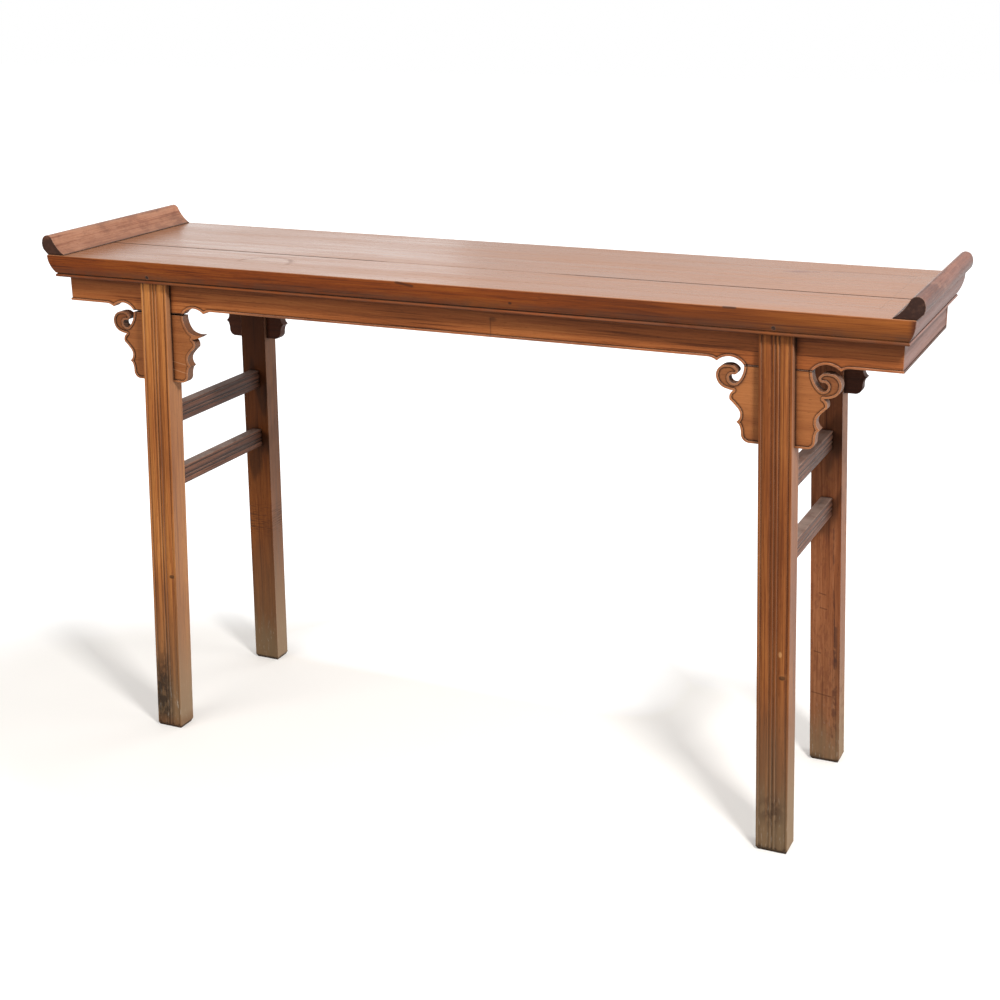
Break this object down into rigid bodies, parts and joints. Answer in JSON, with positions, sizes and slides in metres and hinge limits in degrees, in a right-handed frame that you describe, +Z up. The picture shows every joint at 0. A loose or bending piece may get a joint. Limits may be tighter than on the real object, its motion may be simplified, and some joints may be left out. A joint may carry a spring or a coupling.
{
  "type": "altar table",
  "caption": "Long narrow recessed-leg wooden altar table with upturned end flanges, a moulded top edge, scrolled spandrels, splayed grooved legs and side stretchers.",
  "frame": {"origin": "on the floor under the middle of the top", "axes": "+X along the table to its right end, +Y from its front to its back, +Z up"},
  "size_m": [1.4794, 0.373, 0.8823],
  "materials": {
    "rail": "satin, worn",
    "top": "satin, polished by use",
    "brace": "planed, unfinished",
    "flange": "satin, worn",
    "apron": "satin, worn",
    "leg": "satin, worn",
    "stretcher": "satin, dark with age",
    "peg": "satin, dark"
  },
  "bodies": {
    "root": {"front_rail": "rail", "back_rail": "rail", "left_end_rail": "rail", "right_end_rail": "rail", "front_top_board": "top", "back_top_board": "top", "left_outer_brace": "brace", "left_inner_brace": "brace", "right_outer_brace": "brace", "right_inner_brace": "brace", "left_flange": "flange", "right_flange": "flange", "front_apron": "apron", "back_apron": "apron", "left_end_apron": "apron", "right_end_apron": "apron", "front_left_spandrel": "apron", "front_right_spandrel": "apron", "back_left_spandrel": "apron", "back_right_spandrel": "apron", "front_left_leg": "leg", "front_right_leg": "leg", "back_left_leg": "leg", "back_right_leg": "leg", "left_upper_stretcher": "stretcher", "left_lower_stretcher": "stretcher", "right_upper_stretcher": "stretcher", "right_lower_stretcher": "stretcher", "leg_pegs": "peg"}
  },
  "joints": []
}
